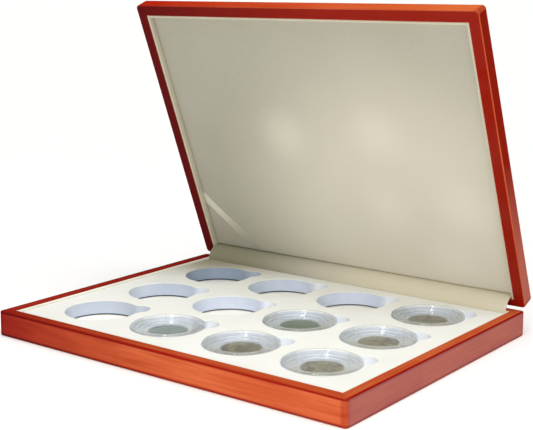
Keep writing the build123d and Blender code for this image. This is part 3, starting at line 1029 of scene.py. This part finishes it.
# Cream satin ribbon: fine ribs across it, smooth enough to catch the light, and
# darker at its lower end, a painted shade near the hinge.
satin, tree = finish_called("satin_ribbon")
ribs = add(tree, "ShaderNodeTexWave", {
    "Vector": add(tree, "ShaderNodeMapping", {
        "Vector": add(tree, "ShaderNodeTexCoord").outputs["Object"],
        "Rotation": (0, 0, math.radians(45)),
    }),
    "Scale": 1 / (3.2 * mm),
    "Distortion": 0.6,
}).outputs["Fac"]
add(tree, "ShaderNodeOutputMaterial", {"Surface": add(tree, "ShaderNodeBsdfPrincipled", {
    "Base Color": add(tree, "ShaderNodeMix", {
        0: ribs,
        6: "#D3D2BC",
        7: "#E6E5D2",
    }, data_type="RGBA"),
    "Roughness": 0.38,
    "Sheen Weight": 0.3,
    "Normal": add(tree, "ShaderNodeBump", {"Strength": 0.3, "Distance": 0.05 * mm, "Height": ribs}),
})})
# Painted shade at the ribbon's lower end.
tinted_round(satin, on_panel(*ribbon_low_end), (0, 60 * mm), 1, "#ACA99A")
seat(ribbon, "lid", satin, "satin_ribbon", "lid_certificate_ribbon")

# ---- the hinges --------------------------------------------------------------
# Two small brass butt hinges, each with its leaves let into the rims and fixed
# by countersunk screws. A torsion spring between the knuckles holds the lid up.
spring_wire_radius = 0.2 * mm
spring_coil_radius = 1.15 * mm
spring_half_length = 3.5 * mm
spring_turns = 18
spring_leg_length = 5.0 * mm  # down the back rail's outer face

# Rolled brass, a little dulled by handling: yellow, with fine brushing.
brushed_brass, tree = finish_called("brushed_brass")
brushing = add(tree, "ShaderNodeTexNoise", {
    "Vector": add(tree, "ShaderNodeMapping", {
        "Vector": add(tree, "ShaderNodeTexCoord").outputs["Object"],
        "Scale": (1 / (6 * mm), 1 / (0.3 * mm), 1 / (0.3 * mm)),
    }),
    "Scale": 1,
    "Detail": 2,
})
add(tree, "ShaderNodeOutputMaterial", {"Surface": add(tree, "ShaderNodeBsdfPrincipled", {
    "Base Color": add(tree, "ShaderNodeMix", {
        0: brushing,
        6: "#B08A45",
        7: "#D9B768",
    }, data_type="RGBA"),
    "Metallic": 1,
    "Roughness": add(tree, "ShaderNodeMapRange", [brushing, 0, 1, 0.22, 0.42]),
})})

# Bright drawn steel of the pins and springs: grey, smooth along the wire.
drawn_steel, tree = finish_called("drawn_steel")
drawing = add(tree, "ShaderNodeTexNoise", {
    "Vector": add(tree, "ShaderNodeTexCoord").outputs["Object"],
    "Scale": 1 / (0.6 * mm),
    "Detail": 2,
})
add(tree, "ShaderNodeOutputMaterial", {"Surface": add(tree, "ShaderNodeBsdfPrincipled", {
    "Base Color": add(tree, "ShaderNodeMix", {
        0: drawing,
        6: "#8F8F8C",
        7: "#BDBDB9",
    }, data_type="RGBA"),
    "Metallic": 1,
    "Roughness": 0.28,
})})
for material, nodes in (
    (brushed_brass, (
        "left_base_leaf", "left_lid_leaf", "right_base_leaf", "right_lid_leaf",
        "base_screws", "lid_screws",
    )),
    (drawn_steel, ("left_pin", "right_pin")),
):
    for node in nodes:
        dress(f"hinge_{node}", material)

# The spring's tree winds the wire round the pin, and gives the leg, which is the
# piece's own line, the same wire.
winding, given = grower("torsion_spring", {
    "Geometry": ["Leg"],
    "Float": ["Turns", "Coil Radius", "Wire Radius", "Length"],
    "Vector": ["Start"],
    "Material": ["Material"],
}, "Spring")
helix = add(winding, "GeometryNodeCurveSpiral", {
    "Resolution": 20,
    "Rotations": given["Turns"],
    "Start Radius": given["Coil Radius"],
    "End Radius": given["Coil Radius"],
    "Height": given["Length"],
})
laid = add(winding, "GeometryNodeTransform", {
    "Geometry": helix,
    "Translation": given["Start"],
    "Rotation": (0, math.pi / 2, 0),
})
leg = add(winding, "GeometryNodeMeshToCurve", {"Mesh": given["Leg"]})
given_out(winding, add(winding, "GeometryNodeCurveToMesh", {
    "Curve": add(winding, "GeometryNodeJoinGeometry", {"Geometry": [laid, leg]}),
    "Profile Curve": add(winding, "GeometryNodeCurvePrimitiveCircle", {
        "Resolution": 8,
        "Radius": given["Wire Radius"],
    }),
    "Fill Caps": True,
}), given["Material"])

for hand, centre in zip(("left", "right"), hinge_places):
    leg_x = centre - spring_half_length
    leg_y = hinge_y - spring_coil_radius
    mesh = bpy.data.meshes.new(f"{hand}_torsion_spring")
    mesh.from_pydata(
        [(leg_x, leg_y, hinge_z), (leg_x, leg_y, hinge_z - spring_leg_length)], [(0, 1)], []
    )
    spring = placed(mesh.name, mesh)
    grown(
        spring, winding, turns=spring_turns, coil_radius=spring_coil_radius,
        wire_radius=spring_wire_radius, length=2 * spring_half_length,
        start=(leg_x, hinge_y, hinge_z), material=drawn_steel,
    )
    creased(spring.data, 60)
    seat(spring, "case", drawn_steel, "hinge_steel", f"hinge_{hand}_spring")

# ---- the hinge flap ----------------------------------------------------------
# A strip of the lining cloth that hides the hinges. It is tucked between insert
# and back liner, bows over the hinge line and is tucked behind the padded panel.
flap_front = 106.0 * mm
flap_foot = 9.2 * mm
flap_bend = 17.0 * mm
flap_thickness = 0.6 * mm
flap_right = 139.2 * mm
flap_head_depth = 2.6 * mm
flap_edge = Vector((108.0 * mm, panel_face))   # where it dips behind the panel, lid shut
flap_foot_steps = 6
flap_bow_steps = 18
flap_head_steps = 3
flap_cell = 4 * mm
flap_wave = 0.18 * mm
flap_wave_size = 26 * mm
flap_wave_rows = 9            # of the net to one wave up the cloth
flap_wave_seed = 3
flap_hem = 3 * mm
flap_hem_slack = 0.1 * mm     # so that the hem's own line counts as hemmed
unhemmed_share = 0.75         # of the thickness that is left between the hems


def opened(y, z):
    """Where a point of the shut lid lies when it stands open, as (y, z)."""
    point = lid_place @ Vector((0, y, z))
    return Vector((point.y, point.z))


edge_point = opened(*flap_edge)
head_point = opened(flap_edge.x, flap_edge.y + flap_head_depth)
reach_y, reach_z = edge_point.x - flap_front, edge_point.y - flap_bend
bow_radius = (reach_y ** 2 + reach_z ** 2) / (2 * reach_y)
bow_turn = math.atan2(reach_z, bow_radius - reach_y)
line = [
    Vector((flap_front, flap_foot + (flap_bend - flap_foot) * step / flap_foot_steps))
    for step in range(flap_foot_steps)
]
for step in range(flap_bow_steps + 1):
    turn = bow_turn * step / flap_bow_steps
    line.append(Vector((
        flap_front + bow_radius * (1 - math.cos(turn)), flap_bend + bow_radius * math.sin(turn)
    )))
line += [
    edge_point.lerp(head_point, (step + 1) / flap_head_steps) for step in range(flap_head_steps)
]

work = bmesh.new()
cells = round(2 * flap_right / flap_cell)
places_x = [-flap_right + 2 * flap_right * cell / cells for cell in range(cells + 1)]
places_x = sorted(places_x + [side * (flap_right - flap_hem) for side in (-1, 1)])
rims = []
for outward in (-0.5, 0.5):
    net = []
    for index, point in enumerate(line):
        ahead = line[min(index + 1, len(line) - 1)] - line[max(index - 1, 0)]
        behind = Vector((ahead.y, -ahead.x)).normalized()
        share = min(max((index - flap_foot_steps) / flap_bow_steps, 0), 1)
        bowed = math.sin(math.pi * share)
        row = []
        for x in places_x:
            ripple = (x / flap_wave_size, index / flap_wave_rows, flap_wave_seed)
            wave = noise.noise(Vector(ripple)) + 1
            hemmed = abs(x) > flap_right - flap_hem - flap_hem_slack
            depth = (0.5 + outward * (1 if hemmed else unhemmed_share)) * flap_thickness
            y, z = point + behind * (depth + wave * flap_wave * bowed)
            row.append(work.verts.new((x, y, z)))
        net.append(row)
    rims.append(woven(work, net))
band(work, *rims)
flap = as_piece("cloth_flap", work)

# The lid's brushed cotton, with painted shade greying it over the hinge line towards the left, and
# painted light paling it towards the right.
hinge_cotton = napped_cloth(
    "hinge_cotton", "#AAA799", "#B7B5A8", 0.9 * mm, 60 * mm, 0.25 * mm, 0.1, 0.2
)
# Painted light towards the right, and painted shade over the left of the hinge line.
tinted_round(hinge_cotton, Vector((100, 110, 25)) * mm, (60 * mm, 190 * mm), 0.9, "#E2DAC2")
tinted_round(hinge_cotton, Vector((-150, 115, 20)) * mm, (30 * mm, 130 * mm), 0.65, "#817E56")
seat(flap, None, hinge_cotton, "cream_lining", "hinge_flap")
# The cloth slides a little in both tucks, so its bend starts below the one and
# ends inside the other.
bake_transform(flap)

# ---- the coins ---------------------------------------------------------------
# Old struck coins: a raised rim, a ring of beads, a wreath and a numeral on each
# face, and a reeded edge. They are made before their capsules, as they go in.
capsule_height = 12.2 * mm
coin_seat = 5.3 * mm          # levels above the well's floor
coin_top = 7.7 * mm
coin_radius = 13.8 * mm
coin_rim_width = 1.2 * mm
coin_relief = 0.2 * mm
coin_edge_radius = 0.15 * mm
reed_depth = 0.12 * mm
numeral_height = 8.5 * mm
numeral_sink = 0.55           # of the relief's height
round_steps = 96
edge_steps = 3
filled_wells = {
    "front_2": (1, 0, "5"),
    "front_3": (2, 0, "20"),
    "front_4": (3, 0, "10"),
    "middle_3": (2, 1, "2"),
    "middle_4": (3, 1, "50"),
    "back_4": (3, 2, "1"),
}


def well_centre(column, row, height=0):
    """The middle of a well, counted from the front left, at a height over its floor."""
    return Vector((
        (column - (columns - 1) / 2) * spacing_x,
        (row - (rows - 1) / 2) * spacing_y + rows_centre,
        well_floor + height,
    ))


def turn_section(work, section, start):
    """Turn a closed section (radius, level, edge radius, edge shade) once round the upright axis.
    """
    points = [point for point, edge_darkness in softened(section, edge_steps, start)]
    spokes = []
    for segment in range(round_steps):
        angle = 2 * math.pi * segment / round_steps
        spokes.append([
            work.verts.new((point.x * math.cos(angle), point.x * math.sin(angle), point.y))
            for point in points
        ])
    for spoke, ahead in zip(spokes, spokes[1:] + spokes[:1]):
        for here in range(len(points)):
            after = (here + 1) % len(points)
            if points[here].x > 0 or points[after].x > 0:
                work.faces.new((spoke[here], spoke[after], ahead[after], ahead[here]))


# The relief's tree strikes the beads, the wreath and the reeding round the coin's
# centre, turns the face over for the reverse and lays the coin in its capsule.
strike, given = grower("struck_relief", {
    "Geometry": ["Blank"],
    "Int": ["Bead Count", "Leaf Count", "Reed Count"],
    "Float": [
        "Face Level", "Bead Ring", "Bead Radius", "Wreath Radius", "Leaf Spread", "Reed Ring",
    ],
    "Vector": ["Leaf Size", "Reed Size", "Centre"],
    "Material": ["Material"],
}, "Coin")
number = add(strike, "GeometryNodeInputIndex")


def ring_of(shape, count, radius, further=0.0, **inputs):
    """Copies of a shape at every point of a ring, turned with it and then further."""
    share = add(strike, "ShaderNodeMath", [number, given[count]], operation="DIVIDE")
    turn = add(strike, "ShaderNodeMath", [share, math.tau, further], operation="MULTIPLY_ADD")
    return add(strike, "GeometryNodeInstanceOnPoints", {
        "Points": add(strike, "GeometryNodeMeshCircle", {
            "Vertices": given[count],
            "Radius": given[radius],
        }),
        "Instance": shape,
        "Rotation": add(strike, "ShaderNodeCombineXYZ", {"Z": turn}),
        **inputs,
    })


bead = add(strike, "GeometryNodeMeshIcoSphere", {"Radius": given["Bead Radius"], "Subdivisions": 1})
leaf = add(strike, "GeometryNodeMeshIcoSphere", {"Radius": 0.5, "Subdivisions": 2})
reed = add(strike, "GeometryNodeMeshCube", {"Size": given["Reed Size"]})
odd = add(strike, "ShaderNodeMath", [number, 2.0], operation="MODULO")
lean = add(
    strike, "ShaderNodeMath", [odd, given["Leaf Spread"], math.pi / 2], operation="MULTIPLY_ADD"
)
beads = ring_of(bead, "Bead Count", "Bead Ring")
wreath = ring_of(leaf, "Leaf Count", "Wreath Radius", lean, Scale=given["Leaf Size"])
reeds = ring_of(reed, "Reed Count", "Reed Ring")
obverse = add(strike, "GeometryNodeTransform", {
    "Geometry": add(strike, "GeometryNodeJoinGeometry", {"Geometry": [beads, wreath]}),
    "Translation": add(strike, "ShaderNodeCombineXYZ", {"Z": given["Face Level"]}),
})
reverse = add(strike, "GeometryNodeTransform", {"Geometry": obverse, "Rotation": (math.pi, 0, 0)})
given_out(strike, add(strike, "GeometryNodeTransform", {
    "Geometry": add(strike, "GeometryNodeJoinGeometry", {
        "Geometry": [given["Blank"], obverse, reverse, reeds],
    }),
    "Translation": given["Centre"],
}), given["Material"])


def aged_metal(name, bright, tarnish, crust, crust_share, metallic):
    """Coin metal: tarnished all over, rubbed brighter in places, with a crust in spots."""
    material, tree = finish_called(name)
    spot = add(tree, "ShaderNodeTexCoord").outputs["Object"]
    wear = add(tree, "ShaderNodeTexNoise", {"Vector": spot, "Scale": 1 / (3.5 * mm), "Detail": 4})
    spots = add(tree, "ShaderNodeTexNoise", {
        "Vector": spot,
        "Scale": 1 / (5 * mm),
        "Detail": 5,
        "Distortion": 0.6,
    })
    rubbed = add(tree, "ShaderNodeMapRange", [wear, 0.4, 0.65])
    crust_edge = 0.62 - 0.3 * crust_share
    crusted = add(tree, "ShaderNodeMapRange", [spots, crust_edge, crust_edge + 0.06])
    metal = add(tree, "ShaderNodeMix", {0: rubbed, 6: tarnish, 7: bright}, data_type="RGBA")
    add(tree, "ShaderNodeOutputMaterial", {"Surface": add(tree, "ShaderNodeBsdfPrincipled", {
        "Base Color": add(tree, "ShaderNodeMix", {
            0: crusted,
            6: metal,
            7: crust,
        }, data_type="RGBA"),
        "Metallic": add(tree, "ShaderNodeMapRange", [crusted, 0, 1, metallic, 0.1]),
        "Roughness": add(tree, "ShaderNodeMapRange", [crusted, 0, 1, 0.38, 0.75]),
        "Specular IOR Level": 0.15,
        "Normal": add(tree, "ShaderNodeBump", {
            "Strength": 0.5,
            "Distance": 0.08 * mm,
            "Height": spots,
        }),
    })})
    return material


# Worn silver with brown tarnish, and copper alloy under a green crust that
# leaves brown patches. Both are dull and never the same twice.
worn_silver = aged_metal("worn_silver", "#8C8866", "#565238", "#281F10", 0.35, 0.25)
verdigris = aged_metal("verdigris", "#2E3A22", "#26301C", "#0C5038", 0.85, 0.1)

coin_middle = (coin_top - coin_seat) / 2
field_radius = coin_radius - coin_rim_width
edge_radius = coin_radius - reed_depth
blank_section = [
    (0, -coin_middle + coin_relief, 0, 0),
    (field_radius, -coin_middle + coin_relief, 0, 0),
    (field_radius, -coin_middle, coin_edge_radius / 2, 0),
    (edge_radius, -coin_middle, coin_edge_radius, 0),
    (edge_radius, coin_middle, coin_edge_radius, 0),
    (field_radius, coin_middle, coin_edge_radius / 2, 0),
    (field_radius, coin_middle - coin_relief, 0, 0),
    (0, coin_middle - coin_relief, 0, 0),
]
for well, (column, row, numeral) in filled_wells.items():
    work = bmesh.new()
    turn_section(work, blank_section, coin_edge_radius / 2)
    letters = bpy.data.curves.new(f"numeral_{numeral}", "FONT")
    letters.body = numeral
    letters.size = numeral_height
    letters.align_x = "CENTER"
    letters.align_y = "CENTER"
    letters.resolution_u = 4
    letters.extrude = 0.45 * coin_relief
    letters.bevel_depth = 0.04 * mm
    sign = placed(letters.name, letters)
    struck = as_mesh(sign)
    bpy.data.objects.remove(sign)
    raised = Matrix.Translation((0, 0, coin_middle - numeral_sink * coin_relief))
    for turn in (0, math.pi):
        on_face = Matrix.Rotation(turn, 4, "X") @ raised
        struck.transform(on_face)
        work.from_mesh(struck)
        struck.transform(on_face.inverted())
    bpy.data.meshes.remove(struck)
    coin = as_piece(f"struck_coin_{well}", work)
    green = well in ("front_2", "middle_3")
    metal = verdigris if green else worn_silver
    grown(
        coin, strike, face_level=coin_middle - coin_relief, bead_count=84,
        bead_ring=field_radius - 0.7 * mm, bead_radius=0.19 * mm, leaf_count=36,
        wreath_radius=9.3 * mm, leaf_size=(2.5 * mm, 0.9 * mm, 0.34 * mm),
        leaf_spread=math.radians(58), reed_count=130, reed_ring=edge_radius,
        reed_size=(2 * reed_depth, 0.3 * mm, coin_top - coin_seat - 4 * coin_edge_radius),
        centre=well_centre(column, row, (coin_seat + coin_top) / 2), material=metal,
    )
    slot = "green_patina" if green else "old_silver"
    seat(coin, f"capsule_{well}", metal, slot, f"coin_{well}")

# ---- the capsules ------------------------------------------------------------
# Two clear halves that press together. Rings step down from the flat band at
# the rim to the window over the coin, and a collar in the lower half holds it.
capsule_radius = 26.0 * mm
capsule_wall = 1.1 * mm
capsule_band = 3.2 * mm
step_count = 3
step_width = 3.0 * mm
step_height = 1.1 * mm        # of the upper half; the lower half rises to meet the coin
step_wall = 0.8 * mm
plug_radius = 24.8 * mm
plug_wall = 0.9 * mm
plug_height = 1.2 * mm
collar_radius = 14.0 * mm
collar_wall = 0.9 * mm
collar_height = 1.8 * mm
capsule_edge_radius = 0.4 * mm
step_edge_radius = 0.22 * mm
lip_radius = 0.15 * mm
clear_flat_start = 0.06 * mm
parting = capsule_height / 2
step_radii = [capsule_radius - capsule_band - k * step_width for k in range(step_count)]
lower_step_height = (coin_seat - capsule_wall) / step_count


def outside_steps(height, rim, inward):
    """A half's outer face, from its centre to the band at the rim's level."""
    points = [(0, rim + inward * step_count * height, 0, 0)]
    for k in reversed(range(step_count)):
        points.append((step_radii[k], rim + inward * (k + 1) * height, step_edge_radius, 0))
        points.append((step_radii[k], rim + inward * k * height, step_edge_radius, 0))
    return points


def inside_steps(height, rim, inward):
    """A half's inner face, from its wall to the last step."""
    points = []
    for k in range(step_count):
        for depth in (k * height, (k + 1) * height):
            level = rim + inward * (depth + capsule_wall)
            points.append((step_radii[k] + step_wall, level, step_edge_radius, 0))
    return points


skirt_radius = capsule_radius - capsule_wall
plug_inside = plug_radius - plug_wall
plug_top = parting + plug_height
collar_outside = collar_radius + collar_wall
collar_top = coin_seat + collar_height
upper_section = outside_steps(step_height, capsule_height, -1) + [
    (capsule_radius, capsule_height, capsule_edge_radius, 0),
    (capsule_radius, parting, lip_radius, 0),
    (skirt_radius, parting, lip_radius, 0),
    (skirt_radius, capsule_height - capsule_wall, step_edge_radius, 0),
] + inside_steps(step_height, capsule_height, -1) + [
    (0, capsule_height - step_count * step_height - capsule_wall, 0, 0),
]
lower_section = outside_steps(lower_step_height, 0, 1) + [
    (capsule_radius, 0, capsule_edge_radius, 0),
    (capsule_radius, parting, lip_radius, 0),
    (plug_radius, parting, 0, 0),
    (plug_radius, plug_top, lip_radius, 0),
    (plug_inside, plug_top, lip_radius, 0),
    (plug_inside, capsule_wall, step_edge_radius, 0),
] + inside_steps(lower_step_height, 0, 1) + [
    (collar_outside, coin_seat, 0, 0),
    (collar_outside, collar_top, lip_radius, 0),
    (collar_radius, collar_top, lip_radius, 0),
    (collar_radius, coin_seat, 0, 0),
    (0, coin_seat, 0, 0),
]

# Moulded polystyrene: thin, water-clear walls. They mirror the room more the
# flatter they are seen, bend a part of what lies behind, and a trace of haze
# picks out the rings.
haze_share = 0.02
bent_share = 0.25
mirror_share = (0.05, 0.32)   # seen straight on and at a low angle
clear_polystyrene, tree = finish_called("clear_polystyrene")
tilt = add(tree, "ShaderNodeLayerWeight", {"Blend": 0.5}).outputs["Facing"]
grazing = add(tree, "ShaderNodeMath", [tilt, 4], operation="POWER")
clear = add(tree, "ShaderNodeBsdfTransparent", {
    "Color": add(tree, "ShaderNodeMix", {0: grazing, 6: "#FDFDFD", 7: "#C4CCCC"}, data_type="RGBA"),
})
bent = add(tree, "ShaderNodeBsdfPrincipled", {
    "Base Color": "#FAFCFC",
    "Roughness": 0.04,
    "IOR": 1.49,
    "Transmission Weight": 1,
})
haze = add(tree, "ShaderNodeBsdfDiffuse", {"Color": "#F2F5F8"})
flow = add(tree, "ShaderNodeTexNoise", {
    "Vector": add(tree, "ShaderNodeTexCoord").outputs["Object"],
    "Scale": 1 / (9 * mm),
    "Detail": 1,
})
mirror = add(tree, "ShaderNodeBsdfAnisotropic", {
    "Color": "#FFFFFF",
    "Roughness": add(tree, "ShaderNodeMapRange", [flow, 0, 1, 0.03, 0.1]),
})
surface = clear
for share, layer in (
    (bent_share, bent),
    (haze_share, haze),
    (add(tree, "ShaderNodeMapRange", [grazing, 0, 1, *mirror_share]), mirror),
    (add(tree, "ShaderNodeLightPath").outputs["Is Shadow Ray"], clear),
):
    surface = add(tree, "ShaderNodeMixShader", {0: share, 1: surface, 2: layer})
add(tree, "ShaderNodeOutputMaterial", {"Surface": surface})

for well, (column, row, numeral) in filled_wells.items():
    for half, section, body in (
        ("base", lower_section, f"capsule_{well}"),
        ("lid", upper_section, f"capsule_{well}_lid"),
    ):
        work = bmesh.new()
        turn_section(work, section, clear_flat_start)
        lying = Matrix.Translation(well_centre(column, row))
        shell = as_piece(f"clear_{half}_{well}", work, lying)
        seat(shell, body, clear_polystyrene, "clear_capsule", f"capsule_{half}_{well}")
